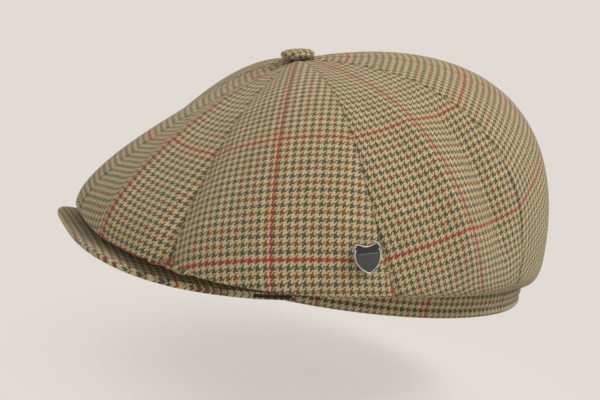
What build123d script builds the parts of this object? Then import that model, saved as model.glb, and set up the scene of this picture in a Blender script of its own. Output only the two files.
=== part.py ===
from build123d import *
from math import cos, pi, radians, sin, sqrt
import os

# Eight-piece newsboy cap, in millimetres.
# The cap stands on the bottom edge of its band: Z = 0 is that edge, and the origin is the
# centre of the head opening.  -Y is the front, over the visor, and +X the wearer's left.

# ---- head opening and band, from the inside out ----
HEAD_LENGTH = 200.0
HEAD_WIDTH = 168.0
SWEATBAND_WALL = 1.2
SWEATBAND_HEIGHT = 32.0
INTERLINING_WALL = 0.8
INTERLINING_HEIGHT = 18.0
BAND_WALL = 1.6
BAND_HEIGHT = 21.0
INNER_LIFT = 1.5          # the sweatband and interlining stop this far above the band's edge
LAYER_GAP = 0.3
SEAM_GAP = 0.3
SURFACE_TOLERANCE = 0.02
LENGTH_SAMPLES = 400
STEP = 0.001             # step for the slope of a curved surface

# ---- crown ----
PANELS = 8
CROWN_WALL = 1.6
CROWN_HEIGHT = 116.0
APEX_FORWARD = 48.0       # the button sits this far in front of the head centre
PANEL_TOP_RADIUS = 3.2    # the panel points stop this far from the button's axis
CROWN_EDGE_HEIGHT = 16.0  # the gathered edge of the crown on the band
# Stations at 0, 45, 90, 135 and 180 degrees round from the centre front.
RIM_OVERHANG = [52.0, 40.0, 37.0, 24.0, 10.0]  # past the head opening's edge
RIM_HEIGHT = [22.0, 20.0, 28.0, 48.0, 38.0]
ROLL_DEPTH = [7.0, 8.0, 8.0, 22.0, 16.0]
# Front, side and back values of the curve from the button to the rim and under it.
TOP_DROP = [0.50, 0.0, -0.24]
TOP_REACH = [0.25, 0.62, 0.66]
WALL_REACH = [0.50, 0.30, 0.85]
UNDER_REACH = [0.15, 0.40, 0.30]
EDGE_STANDOFF = [0.1, 0.4, 1.0]  # cloth walls between the band and the crown's edge
PANEL_BULGE = 3.0         # the middle of a panel stands this far out past its seams

# ---- lining ----
LINING_WALL = 0.7
LINING_FULLNESS = 0.50    # share of the crown's overhang past the band that the lining fills
LINING_DROP = 9.0         # the lining's top hangs this far under the crown's
LINING_LAP = 4.0          # the lining's edge laps this far down behind the sweatband
LINING_TOP_RADIUS = 1.5

# ---- covered button ----
BUTTON_DIAMETER = 18.5
BUTTON_HEIGHT = 5.5
BUTTON_CLOTH = 1.0
BUTTON_SHELL_WALL = 0.7
BUTTON_FIT = 0.15
BUTTON_HOLLOW_INSET = 3.75  # from the shell's rim in to its hollow
BUTTON_POST_DIAMETER = 2.6
WASHER_DIAMETER = 12.0
WASHER_WALL = 0.8
WASHER_DROP = 2.6         # under the cloth, room for the seam allowances
BUTTON_RIM_SHARE = 0.40   # height of the button's upright rim as a share of the whole
BUTTON_MOUTH_SHARE = 0.55 # the cloth is gathered in to this share of the radius underneath
BUTTON_SEAT = 0.9         # the button's foot above the crown's top
BUTTON_TILT = 12.0        # the button leans forward this many degrees

# ---- visor ----
VISOR_FRONT = 166.0       # the outer edge at the centre front, ahead of the origin
VISOR_ROOT_ANGLE = 62.0   # the root runs this far round the band to each side
VISOR_FRONT_HEIGHT = 10.5
VISOR_ROOT_HEIGHT = 8.0
VISOR_END_HEIGHT = 3.2
VISOR_FULLNESS = 0.75     # under 1 squares the outer edge off towards the sides
VISOR_BOARD_WALL = 1.6
VISOR_CLOTH_WALL = 1.0
VISOR_HEM = 2.0           # the cloth runs this far past the board's edge
VISOR_GAP = 0.4           # between the visor's root and the band
VISOR_TURN = 0.94         # the visor's ends are cut off square here, before they run to a point

# ---- shield pin ----
PIN_ANGLE = 92.0          # round from the centre front, towards the wearer's left
PIN_HEIGHT = 36.0
PIN_LEAN = 12.0           # the post points this many degrees upwards, as the cloth faces
PIN_TURN = 10.0           # the shield leans this many degrees
SHIELD_WIDTH = 14.0
SHIELD_HEIGHT = 14.4
SHIELD_WALL = 1.4
SHIELD_EAR = 0.80         # shares of the half width and half height along the outline
SHIELD_SHOULDER = 0.62
SHIELD_NOTCH = 0.86
SHIELD_WAIST = 0.30
SHIELD_RIM = 0.8
ENAMEL_DEPTH = 0.6
ENAMEL_GAP = 0.05
SHIELD_SPLIT = 0.34       # share of the height filled by the upper enamel
POST_DIAMETER = 1.2
POST_LENGTH = 10.5
POST_CLEARANCE = 0.15
CLUTCH_DIAMETER = 9.0
CLUTCH_HEIGHT = 3.0
CLUTCH_WALL = 0.5
CLUTCH_DEPTH = 5.6        # from the shield's back to the clutch
SPRING_WALL = 0.4
PIN_PANEL = 2             # the post goes through the third panel from the front, on the left
PIN_SAMPLES = 24

PANEL_NAMES = ["front_left", "side_front_left", "side_back_left", "back_left",
               "back_right", "side_back_right", "side_front_right", "front_right"]


# ---- shape of the crown ----

def round_the_cap(stations, angle):
    """Smooth even curve through five values at 0, 45, 90, 135 and 180 degrees."""
    total = 0.0
    last = len(stations) - 1
    for order in range(last + 1):
        weight = 0.0
        for place in range(last + 1):
            share = 0.5 if place in (0, last) else 1.0
            weight += share * stations[place] * cos(order * place * pi / last)
        weight *= (1.0 if order in (0, last) else 2.0) / last
        total += weight * cos(order * angle)
    return total


def front_side_back(values, angle):
    """Value at an angle from one for the front, one for the sides and one for the back."""
    front, side, back = values
    lengthwise = cos(angle) ** 2
    end = front if cos(angle) > 0 else back
    return end * lengthwise + side * (1 - lengthwise)


def bezier(a, b, c, d, t):
    s = 1 - t
    return s * s * s * a + 3 * s * s * t * b + 3 * s * t * t * c + t * t * t * d


def band_distance(angle, outward):
    """From the button's axis to an ellipse that lies this far outside the head opening."""
    half_width = HEAD_WIDTH / 2 + outward
    half_length = HEAD_LENGTH / 2 + outward
    across, along = sin(angle), -cos(angle)
    a = (across / half_width) ** 2 + (along / half_length) ** 2
    b = -2 * APEX_FORWARD * along / half_length ** 2
    c = (APEX_FORWARD / half_length) ** 2 - 1
    return (-b + sqrt(b * b - 4 * a * c)) / (2 * a)


BAND_OUTSIDE = SWEATBAND_WALL + INTERLINING_WALL + BAND_WALL + 2 * LAYER_GAP


def rim_stations():
    """Distances from the button's axis to the crown's rim at the five stations."""
    half_length, half_width = HEAD_LENGTH / 2, HEAD_WIDTH / 2
    corner = (half_length + half_width) / 2
    opening = [half_length - APEX_FORWARD, corner - APEX_FORWARD / 2, half_width,
               corner + APEX_FORWARD / 2, half_length + APEX_FORWARD]
    return [edge + past for edge, past in zip(opening, RIM_OVERHANG)]


RIM_RADIUS = rim_stations()


def crown_edge(angle):
    """From the button's axis to the crown's gathered edge on the outside of the band."""
    standoff = front_side_back(EDGE_STANDOFF, angle) * CROWN_WALL
    return band_distance(angle, BAND_OUTSIDE + LAYER_GAP + standoff)


def top_start(angle):
    """Curve parameter at which a panel's point starts, PANEL_TOP_RADIUS from the axis."""
    rim = round_the_cap(RIM_RADIUS, angle)
    return PANEL_TOP_RADIUS / (3 * front_side_back(TOP_REACH, angle) * rim)


def crown_curve(angle, t):
    """Distance from the button's axis and height: 0 to 1 button to rim, 1 to 2 under it."""
    rim = round_the_cap(RIM_RADIUS, angle)
    rim_height = round_the_cap(RIM_HEIGHT, angle)
    if t <= 1:
        reach = front_side_back(TOP_REACH, angle) * rim
        drop = front_side_back(TOP_DROP, angle) * reach
        wall = front_side_back(WALL_REACH, angle) * (CROWN_HEIGHT - rim_height)
        return (bezier(0, reach, rim, rim, t),
                bezier(CROWN_HEIGHT, CROWN_HEIGHT - drop, rim_height + wall, rim_height, t))
    roll = round_the_cap(ROLL_DEPTH, angle)
    edge = crown_edge(angle)
    under = edge + front_side_back(UNDER_REACH, angle) * (rim - edge)
    return (bezier(rim, rim, under, edge, t - 1),
            bezier(rim_height, rim_height - roll, CROWN_EDGE_HEIGHT - roll / 2,
                   CROWN_EDGE_HEIGHT, t - 1))


def crown_point(angle, across, t):
    """Point on the outside of the crown; across is -1 to 1 from seam to seam."""
    distance, height = crown_curve(angle, t)
    distance += PANEL_BULGE * (1 - across * across) * sin(pi * t / 2)
    return Vector(distance * sin(angle), -APEX_FORWARD - distance * cos(angle), height)


def lining_rim(angle):
    """How far the lining bellies out from the button's axis."""
    edge = band_distance(angle, LINING_EDGE_OUTSIDE)
    return edge + LINING_FULLNESS * (round_the_cap(RIM_RADIUS, angle) - edge)


def lining_point(angle, across, t):
    """Point on the outside of the lining, which hangs as one dome inside the crown."""
    edge = band_distance(angle, LINING_EDGE_OUTSIDE)
    rim = lining_rim(angle)
    reach = front_side_back(TOP_REACH, angle) * rim
    drop = front_side_back(TOP_DROP, angle) * reach
    rim_height = round_the_cap(RIM_HEIGHT, angle)
    wall = front_side_back(WALL_REACH, angle) * (LINING_HEIGHT - rim_height)
    distance = bezier(0, reach, rim, edge, t)
    height = bezier(LINING_HEIGHT, LINING_HEIGHT - drop, rim_height + wall,
                    LINING_EDGE_HEIGHT, t)
    return Vector(distance * sin(angle), -APEX_FORWARD - distance * cos(angle), height)


LINING_HEIGHT = CROWN_HEIGHT - LINING_DROP
LINING_EDGE_OUTSIDE = SWEATBAND_WALL + LAYER_GAP + LINING_WALL
LINING_EDGE_HEIGHT = INNER_LIFT + SWEATBAND_HEIGHT - LINING_LAP


def lining_start(angle):
    """Curve parameter at which a lining gore starts, LINING_TOP_RADIUS from the axis."""
    return LINING_TOP_RADIUS / (3 * front_side_back(TOP_REACH, angle) * lining_rim(angle))


def crown_end(angle):
    return 2.0


def lining_end(angle):
    return 1.0


def even_steps(surface, angle, start, end, rows):
    """Shares of the curve parameter that divide a panel's middle line into even lengths."""
    fine = [start + (end - start) * number / LENGTH_SAMPLES
            for number in range(LENGTH_SAMPLES + 1)]
    points = [surface(angle, 0, t) for t in fine]
    lengths = [0.0]
    for before, after in zip(points, points[1:]):
        lengths.append(lengths[-1] + (after - before).length)
    steps = [0.0]
    for row in range(1, rows):
        wanted = lengths[-1] * row / rows
        place = next(number for number, length in enumerate(lengths) if length >= wanted)
        share = (wanted - lengths[place - 1]) / (lengths[place] - lengths[place - 1])
        steps.append((place - 1 + share) / LENGTH_SAMPLES)
    return steps + [1.0]


def gore(surface, middle, first, last, rows, columns, wall):
    """Solid gore of cloth between two seams, from its tip to its edge, wall thick inwards."""
    half = pi / PANELS
    steps = even_steps(surface, middle, first(middle), last(middle), rows)

    def place(across, t):
        angle = middle + across * half
        flat = surface(angle, across, t)
        distance = sqrt(flat.X ** 2 + (flat.Y + APEX_FORWARD) ** 2)
        return surface(angle - across * SEAM_GAP / 2 / distance, across, t)

    outer, inner = [], []
    for step in steps:
        outer.append([])
        inner.append([])
        for column in range(columns + 1):
            across = -1 + 2 * column / columns
            angle = middle + across * half
            start = first(angle)
            t = start + (last(angle) - start) * step
            point = place(across, t)
            sideways = place(across + STEP, t) - place(across - STEP, t)
            downwards = place(across, t + STEP) - place(across, t - STEP)
            outer[-1].append(point)
            inner[-1].append(point + sideways.cross(downwards).normalized() * wall)
    return solid_between(outer, inner)


def solid_between(outer, inner):
    """Solid between two grids of points that answer each other."""
    faces = [Face.make_surface_from_array_of_points(grid, tol=SURFACE_TOLERANCE, min_deg=3)
             for grid in (outer, inner)]
    sides = [Face.make_surface_from_curves(a, b)
             for a, b in zip(faces[0].edges(), faces[1].edges())]
    solid = Solid(Shell(faces + sides))
    return solid if solid.volume > 0 else Solid(Shell([-face for face in faces + sides]))


# ---- band, lining and visor ----

def head_ring(inside, wall, bottom, height, side=0):
    """Oval ring round the head opening; side is 1 or -1 for its left or right half."""
    length, width = HEAD_LENGTH / 2 + inside, HEAD_WIDTH / 2 + inside
    face = make_face(Ellipse(width + wall, length + wall).edges())
    face -= make_face(Ellipse(width, length).edges())
    ring = extrude(face, height)
    if side:
        box = Box(2 * width, 4 * length, 4 * height)
        ring -= Pos(-side * (width - SEAM_GAP / 2), 0, 0) * box
    return Pos(0, 0, bottom) * ring


def visor_point(turn, out):
    """Middle of the visor: turn is -1 to 1 from end to end, out is 0 at the root to 1."""
    root_angle = turn * radians(VISOR_ROOT_ANGLE)
    reach = BAND_OUTSIDE + VISOR_GAP
    root_x = (HEAD_WIDTH / 2 + reach) * sin(root_angle)
    root_y = -(HEAD_LENGTH / 2 + reach) * cos(root_angle)
    end_x = (HEAD_WIDTH / 2 + reach) * sin(radians(VISOR_ROOT_ANGLE))
    end_y = (HEAD_LENGTH / 2 + reach) * cos(radians(VISOR_ROOT_ANGLE))
    quarter = turn * pi / 2
    side = 1 if turn > 0 else -1
    edge_x = end_x * side * abs(sin(quarter)) ** VISOR_FULLNESS
    edge_y = -end_y - (VISOR_FRONT - end_y) * cos(quarter) ** VISOR_FULLNESS
    arch = cos(quarter) ** 2
    root_z = VISOR_END_HEIGHT + (VISOR_ROOT_HEIGHT - VISOR_END_HEIGHT) * arch
    edge_z = VISOR_END_HEIGHT + (VISOR_FRONT_HEIGHT - VISOR_END_HEIGHT) * arch
    return Vector(root_x + (edge_x - root_x) * out,
                  root_y + (edge_y - root_y) * out,
                  root_z + (edge_z - root_z) * out)


def visor_layer(bottom, top, trim, rows=6, columns=16):
    """Layer of the visor between two heights over its middle, trimmed in from its edge."""
    grids = []
    for lift in (top, bottom):
        grid = []
        for column in range(columns + 1):
            turn = VISOR_TURN * (-1 + 2 * column / columns)
            root, edge = visor_point(turn, 0), visor_point(turn, 1)
            depth = (edge - root).length
            last = 1 - trim / depth
            line = [visor_point(turn, last * row / rows) + Vector(0, 0, lift)
                    for row in range(rows + 1)]
            grid.append(line)
        grids.append(grid)
    return solid_between(*grids)


# ---- covered button ----

def button_dome(radius, height):
    """Solid dome with a flat foot, an upright rim and its axis on Z."""
    crown = height * (1 - BUTTON_RIM_SHARE)
    ball = (radius * radius + crown * crown) / (2 * crown)
    upright = Cylinder(radius, height, align=(Align.CENTER, Align.CENTER, Align.MIN))
    return upright & Pos(0, 0, height - ball) * Sphere(ball)


def make_button():
    """Cloth cover, metal shell, post and washer, leaning forward with the crown's top."""
    radius = BUTTON_DIAMETER / 2
    mouth = Cylinder(radius * BUTTON_MOUTH_SHARE, 4 * BUTTON_CLOTH)
    shell_radius, shell_height = radius - BUTTON_CLOTH, BUTTON_HEIGHT - 2 * BUTTON_CLOTH
    pocket = button_dome(shell_radius + BUTTON_FIT, shell_height + 2 * BUTTON_FIT)
    cover = button_dome(radius, BUTTON_HEIGHT) - mouth
    cover -= Pos(0, 0, BUTTON_CLOTH - BUTTON_FIT) * pocket
    hollow_height = shell_height - BUTTON_SHELL_WALL
    hollow = Cylinder(shell_radius - BUTTON_HOLLOW_INSET, 2 * hollow_height)
    shell = Pos(0, 0, BUTTON_CLOTH) * (button_dome(shell_radius, shell_height) - hollow)
    post_top = BUTTON_CLOTH + hollow_height
    post_bottom = -BUTTON_SEAT - CROWN_WALL - WASHER_DROP - WASHER_WALL
    post = Pos(0, 0, post_bottom) * Cylinder(
        BUTTON_POST_DIAMETER / 2, post_top - post_bottom,
        align=(Align.CENTER, Align.CENTER, Align.MIN))
    washer = Pos(0, 0, post_bottom) * Cylinder(
        WASHER_DIAMETER / 2, WASHER_WALL, align=(Align.CENTER, Align.CENTER, Align.MIN))
    washer -= post
    seat = Pos(0, -APEX_FORWARD, CROWN_HEIGHT + BUTTON_SEAT) * Rot(BUTTON_TILT, 0, 0)
    return {"button_cloth_cover": seat * cover, "button_shell": seat * shell,
            "button_post": seat * post, "button_washer": seat * washer}


# ---- shield pin ----

def shield_outline(inset):
    """Shield outline in the XY plane, point down, drawn in by an inset."""
    half, tall = SHIELD_WIDTH / 2 - inset, SHIELD_HEIGHT / 2 - inset
    ear, shoulder, waist = SHIELD_EAR * half, SHIELD_SHOULDER * tall, SHIELD_WAIST * tall
    left = [(-ear, tall), (-half, shoulder)]
    right = [(ear, tall), (half, shoulder)]
    return make_face([
        ThreePointArc(left[0], (0, SHIELD_NOTCH * tall), right[0]),
        Line(right[0], right[1]),
        Spline(right[1], (ear, -waist), (0, -tall)),
        Spline((0, -tall), (-ear, -waist), left[1]),
        Line(left[1], left[0]),
    ])


def pin_seat():
    """Direction of the post, and the middle of the shield's back clear of the cloth."""
    angle, lean = radians(PIN_ANGLE), radians(PIN_LEAN)
    axis = Vector(cos(lean) * sin(angle), -cos(lean) * cos(angle), sin(lean))
    rim = round_the_cap(RIM_RADIUS, angle)
    cloth = []
    for turn in range(-PIN_SAMPLES, PIN_SAMPLES + 1):
        around = angle + SHIELD_WIDTH / 2 / rim * turn / PIN_SAMPLES
        across = 2 * (around * PANELS / (2 * pi) % 1) - 1
        cloth += [crown_point(around, across, number / PIN_SAMPLES)
                  for number in range(2 * PIN_SAMPLES + 1)]
    level = Vector(rim * sin(angle), -APEX_FORWARD - rim * cos(angle), PIN_HEIGHT)
    behind = [point for point in cloth if abs(point.Z - PIN_HEIGHT) < SHIELD_HEIGHT / 2]
    reach = max((point - level).dot(axis) for point in behind)
    return axis, level + axis * (reach + LAYER_GAP)


def make_pin():
    """Shield with two enamel fields, its post, and the clutch behind the cloth."""
    plate = extrude(shield_outline(0), SHIELD_WALL)
    floor = Pos(0, 0, SHIELD_WALL - ENAMEL_DEPTH)
    pocket = floor * extrude(shield_outline(SHIELD_RIM), ENAMEL_DEPTH)
    enamel = floor * extrude(shield_outline(SHIELD_RIM + ENAMEL_GAP), ENAMEL_DEPTH)
    split = SHIELD_HEIGHT * (0.5 - SHIELD_SPLIT)
    upper_half = Pos(0, split, 0) * Box(
        SHIELD_WIDTH, SHIELD_HEIGHT, 4 * SHIELD_WALL,
        align=(Align.CENTER, Align.MIN, Align.CENTER))
    post = Cylinder(POST_DIAMETER / 2, POST_LENGTH, align=(Align.CENTER, Align.CENTER, Align.MAX))
    hole = Cylinder(POST_DIAMETER / 2 + POST_CLEARANCE, 4 * POST_LENGTH)
    cup = Cylinder(CLUTCH_DIAMETER / 2, CLUTCH_HEIGHT,
                   align=(Align.CENTER, Align.CENTER, Align.MAX))
    cavity = Cylinder(CLUTCH_DIAMETER / 2 - CLUTCH_WALL, CLUTCH_HEIGHT - 2 * CLUTCH_WALL,
                      align=(Align.CENTER, Align.CENTER, Align.MAX))
    cup -= Pos(0, 0, -CLUTCH_WALL) * cavity
    cup -= hole
    spring = Cylinder(CLUTCH_DIAMETER / 2 - CLUTCH_WALL, SPRING_WALL,
                      align=(Align.CENTER, Align.CENTER, Align.MAX))
    spring = Pos(0, 0, -CLUTCH_WALL) * (spring - hole)
    turn = Rot(0, 0, PIN_TURN)
    behind = Pos(0, 0, -CLUTCH_DEPTH)
    seat = Pos(*PIN_PLACE) * Rot(0, 0, PIN_ANGLE) * Rot(90 - PIN_LEAN, 0, 0)
    return {"shield_plate": seat * turn * (plate - pocket),
            "shield_enamel_upper": seat * turn * (enamel & upper_half),
            "shield_enamel_lower": seat * turn * (enamel - upper_half),
            "shield_post": seat * post,
            "clutch_cup": seat * behind * cup,
            "clutch_spring": seat * behind * spring}, seat * hole


PIN_AXIS, PIN_PLACE = pin_seat()


# ---- the whole cap ----

pieces, pin_hole = make_pin()
pieces.update(make_button())

for number, name in enumerate(PANEL_NAMES):
    middle = (number + 0.5) * 2 * pi / PANELS
    panel = gore(crown_point, middle, top_start, crown_end, 16, 6, CROWN_WALL)
    if number == PIN_PANEL:
        panel -= pin_hole
    pieces["crown_panel_" + name] = panel
    pieces["lining_gore_" + name] = gore(
        lining_point, middle, lining_start, lining_end, 10, 4, LINING_WALL)

interlining_inside = SWEATBAND_WALL + LAYER_GAP
band_inside = interlining_inside + INTERLINING_WALL + LAYER_GAP
pieces["sweatband"] = head_ring(0, SWEATBAND_WALL, INNER_LIFT, SWEATBAND_HEIGHT)
pieces["band_interlining"] = head_ring(
    interlining_inside, INTERLINING_WALL, INNER_LIFT, INTERLINING_HEIGHT)
pieces["band_cloth_left"] = head_ring(band_inside, BAND_WALL, 0, BAND_HEIGHT, side=1)
pieces["band_cloth_right"] = head_ring(band_inside, BAND_WALL, 0, BAND_HEIGHT, side=-1)

board_top = VISOR_BOARD_WALL / 2
cloth_foot = board_top + LAYER_GAP
cloth_face = cloth_foot + VISOR_CLOTH_WALL
pieces["visor_board"] = visor_layer(-board_top, board_top, VISOR_HEM)
pieces["visor_top_cloth"] = visor_layer(cloth_foot, cloth_face, 0)
pieces["visor_under_cloth"] = visor_layer(-cloth_face, -cloth_foot, 0)

os.makedirs("parts", exist_ok=True)
for name, shape in pieces.items():
    export_step(shape, "parts/" + name + ".step")
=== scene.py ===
import math

import bpy
import numpy as np
from mathutils import Matrix, Vector


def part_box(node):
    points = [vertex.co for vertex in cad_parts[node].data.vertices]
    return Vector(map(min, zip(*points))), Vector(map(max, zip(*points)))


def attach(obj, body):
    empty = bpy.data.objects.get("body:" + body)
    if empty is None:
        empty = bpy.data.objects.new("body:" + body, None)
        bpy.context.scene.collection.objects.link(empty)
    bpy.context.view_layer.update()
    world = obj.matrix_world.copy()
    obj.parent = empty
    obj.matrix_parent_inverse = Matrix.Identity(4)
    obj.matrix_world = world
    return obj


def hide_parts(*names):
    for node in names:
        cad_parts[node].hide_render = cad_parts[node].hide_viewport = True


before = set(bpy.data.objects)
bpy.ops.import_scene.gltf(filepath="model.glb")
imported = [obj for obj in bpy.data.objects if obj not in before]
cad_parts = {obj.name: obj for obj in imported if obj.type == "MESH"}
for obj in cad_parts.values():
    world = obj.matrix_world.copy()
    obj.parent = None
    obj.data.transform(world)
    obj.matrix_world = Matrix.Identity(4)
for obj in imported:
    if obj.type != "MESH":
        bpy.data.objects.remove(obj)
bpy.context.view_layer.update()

# The cap's shapes are worked out in millimetres, in the frame's own axes: -Y is the front,
# +X the wearer's left, and Z = 0 the bottom edge of the band.
MM = 0.001

# ---- cloth ----
THREAD = 0.45           # one thread of the weave
SET = 8                 # threads in one repeat of the small check, half of them pale
REPEATS_ACROSS = 16     # small checks from one red line to the next
REPEATS_DOWN = 17
CHECK_ACROSS = REPEATS_ACROSS * SET * THREAD
CHECK_DOWN = REPEATS_DOWN * SET * THREAD
RED_THREADS = 3
LEVEL_EASE = 0.5        # share of a level line's arch that the steamed wool takes up
FIRST_LEVEL = 26.0      # the first red weft line, from the button
CLOTH_WALL = 1.3

# ---- crown: stations at 0, 45, 90, 135 and 180 degrees round from the centre front ----
PANELS = 8
APEX = np.array([0.0, -48.0])
CROWN_HEIGHT = 117.0
RIM_RADIUS = [107.0, 111.0, 125.0, 140.0, 155.0]
RIM_HEIGHT = [22.0, 18.0, 25.0, 31.0, 32.0]
ROLL_DEPTH = [4.0, 2.0, 6.0, 18.0, 16.0]
# Front, side and back values of the curve from the button to the rim and under it.
TOP_DROP = [0.55, 0.0, -0.3]
TOP_REACH = [0.3, 0.75, 0.75]
WALL_REACH = [0.25, 0.25, 0.9]
UNDER_REACH = [0.1, 0.1, 0.05]
EDGE_STANDOFF = [0.2, 0.6, 1.5]
EDGE_HEIGHT = 21.0
SIDE_SLUMP = 5.0        # the wearer's left side sits this much lower than the right
SLIP = 11.0             # degrees that the cloth has slipped round on the wearer's left
SLIP_MIDDLE, SLIP_SPREAD = 102.0, 62.0
HOLLOW = 8.0            # the front quarter on the wearer's right has sunk in this far
HOLLOW_MIDDLE, HOLLOW_SPREAD = 310.0, 45.0
PANEL_BULGE = 2.4
TIP_RADIUS = 3.2
SEAM_DIP = 0.6
SEAM_WIDTH = 2.6
PUCKER = 0.15

# ---- head opening and band ----
HEAD = np.array([84.0, 100.0])
BAND_HEIGHT = 21.0
BAND_INSIDE = 2.6
BAND_OUTSIDE = 4.2

# ---- visor ----
VISOR_FRONT = 163.0
VISOR_ROOT_ANGLE = 62.0
VISOR_FRONT_HEIGHT = 14.3
VISOR_ROOT_HEIGHT = 8.0
VISOR_END_HEIGHT = 3.0
VISOR_FULLNESS = 0.55
VISOR_TURN = 0.94
VISOR_CLOTH = 1.7       # half the visor's thickness, board and cloth together
VISOR_BOARD_WALL = 1.4
VISOR_HEM = 3.5
VISOR_ROLL = 0.80       # the cloth starts to roll round the edge at this share of its rows
VISOR_CHECK = 118.0     # the check starts this far ahead of the origin

# ---- button and shield ----
BUTTON_RADIUS = 9.25
BUTTON_HEIGHT = 5.5
BUTTON_TILT = 12.0
SHIELD_PLACE_ANGLE = 92.0
SHIELD_LEAN = 12.0
SHIELD_TURN = 10.0
SHIELD_WIDTH = 14.0
SHIELD_HEIGHT = 14.4
SHIELD_RIM = 0.8
SHIELD_SPLIT = 0.16 * SHIELD_HEIGHT     # the two fields meet this far above the middle
POST_LENGTH = 10.5

PANEL_NAMES = ["front_left", "side_front_left", "side_back_left", "back_left",
               "back_right", "side_back_right", "side_front_right", "front_right"]


def linear(red, green, blue):
    """Linear colour from the 0 to 255 values a dyer's chart gives."""
    def channel(value):
        share = value / 255
        return share / 12.92 if share <= 0.04045 else ((share + 0.055) / 1.055) ** 2.4
    return (channel(red), channel(green), channel(blue), 1.0)


# ---- shader wiring ----

class Wire:
    """A number socket, so that sums of sockets read as plain arithmetic."""

    def __init__(self, finish, socket):
        self.finish = finish
        self.socket = socket

    def maths(self, operation, *values):
        node = self.finish.node("Math", {"operation": operation}, dict(enumerate(values)))
        return Wire(self.finish, node.outputs[0])

    def __add__(self, other):
        return self.maths("ADD", self, other)

    def __radd__(self, other):
        return self.maths("ADD", other, self)

    def __sub__(self, other):
        return self.maths("SUBTRACT", self, other)

    def __rsub__(self, other):
        return self.maths("SUBTRACT", other, self)

    def __mul__(self, other):
        return self.maths("MULTIPLY", self, other)

    def __rmul__(self, other):
        return self.maths("MULTIPLY", other, self)

    def __truediv__(self, other):
        return self.maths("DIVIDE", self, other)

    def __rtruediv__(self, other):
        return self.maths("DIVIDE", other, self)

    def __mod__(self, other):
        return self.maths("FLOORED_MODULO", self, other)

    def __lt__(self, other):
        return self.maths("LESS_THAN", self, other)

    def __gt__(self, other):
        return self.maths("GREATER_THAN", self, other)

    def __abs__(self):
        return self.maths("ABSOLUTE", self)

    def root(self):
        return self.maths("SQRT", self)

    def floor(self):
        return self.maths("FLOOR", self)

    def sine(self):
        return self.maths("SINE", self)

    def between(self, low, high):
        """0 below low, 1 above high, and a smooth step from one to the other."""
        node = self.finish.node(
            "MapRange", {"interpolation_type": "SMOOTHSTEP"},
            {"Value": self, "From Min": low, "From Max": high})
        return Wire(self.finish, node.outputs[0])


class Finish:
    """A procedural material and the few ways its nodes are made."""

    def __init__(self, name):
        self.material = bpy.data.materials.new(name)
        self.material.use_nodes = True
        self.tree = self.material.node_tree
        self.tree.nodes.clear()
        self.output = self.node("OutputMaterial")
        self.shader = self.node("BsdfPrincipled")
        self.tree.links.new(self.shader.outputs[0], self.output.inputs[0])

    def node(self, kind, settings=None, inputs=None):
        made = self.tree.nodes.new("ShaderNode" + kind)
        for key, value in (settings or {}).items():
            setattr(made, key, value)
        for key, value in (inputs or {}).items():
            self.feed(made.inputs[key], value)
        return made

    def feed(self, socket, value):
        if isinstance(value, Wire):
            self.tree.links.new(value.socket, socket)
        elif isinstance(value, bpy.types.NodeSocket):
            self.tree.links.new(value, socket)
        else:
            socket.default_value = value

    def set(self, **sockets):
        """Values or links of the main shader, named with _ for each space."""
        for key, value in sockets.items():
            self.feed(self.shader.inputs[key.replace("_", " ")], value)
        return self

    def uv(self, name):
        """The two axes of a named flat layout."""
        split = self.node("SeparateXYZ", None, {0: self.node("UVMap", {"uv_map": name}).outputs[0]})
        return Wire(self, split.outputs[0]), Wire(self, split.outputs[1])

    def point(self, x, y, z=0.0):
        return self.node("CombineXYZ", None, {0: x, 1: y, 2: z}).outputs[0]

    def place(self):
        return self.node("TexCoord").outputs["Object"]

    def noise(self, place, scale, detail=2.0, roughness=0.5):
        node = self.node("TexNoise", None, {
            "Vector": place, "Scale": scale, "Detail": detail, "Roughness": roughness})
        return Wire(self, node.outputs["Fac"])

    def speckle(self, place):
        node = self.node("TexWhiteNoise", {"noise_dimensions": "2D"}, {"Vector": place})
        return Wire(self, node.outputs["Value"])

    def blend(self, share, a, b):
        """Colour a where the share is 0, b where it is 1."""
        node = self.node("Mix", {"data_type": "RGBA"}, {0: share, 6: a, 7: b})
        return node.outputs[2]

    def shade(self, colour, amount):
        """Colour times a number."""
        grey = self.node("CombineColor", None, {0: amount, 1: amount, 2: amount}).outputs[0]
        node = self.node("Mix", {"data_type": "RGBA", "blend_type": "MULTIPLY"},
                         {0: 1.0, 6: colour, 7: grey})
        return node.outputs[2]

    def bump(self, height, distance, strength=1.0):
        """A raised and sunk surface, from a height in shares of a distance in metres."""
        node = self.node("Bump", None, {
            "Height": height, "Distance": distance, "Strength": strength})
        self.feed(self.shader.inputs["Normal"], node.outputs[0])
        return self


# ---- materials ----

PALE = linear(194, 178, 132)
SAND = linear(170, 152, 106)
MOSS = linear(66, 72, 60)
RUST = linear(108, 70, 44)
RED = linear(158, 26, 40)
SHADOW = linear(58, 46, 30)


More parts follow.
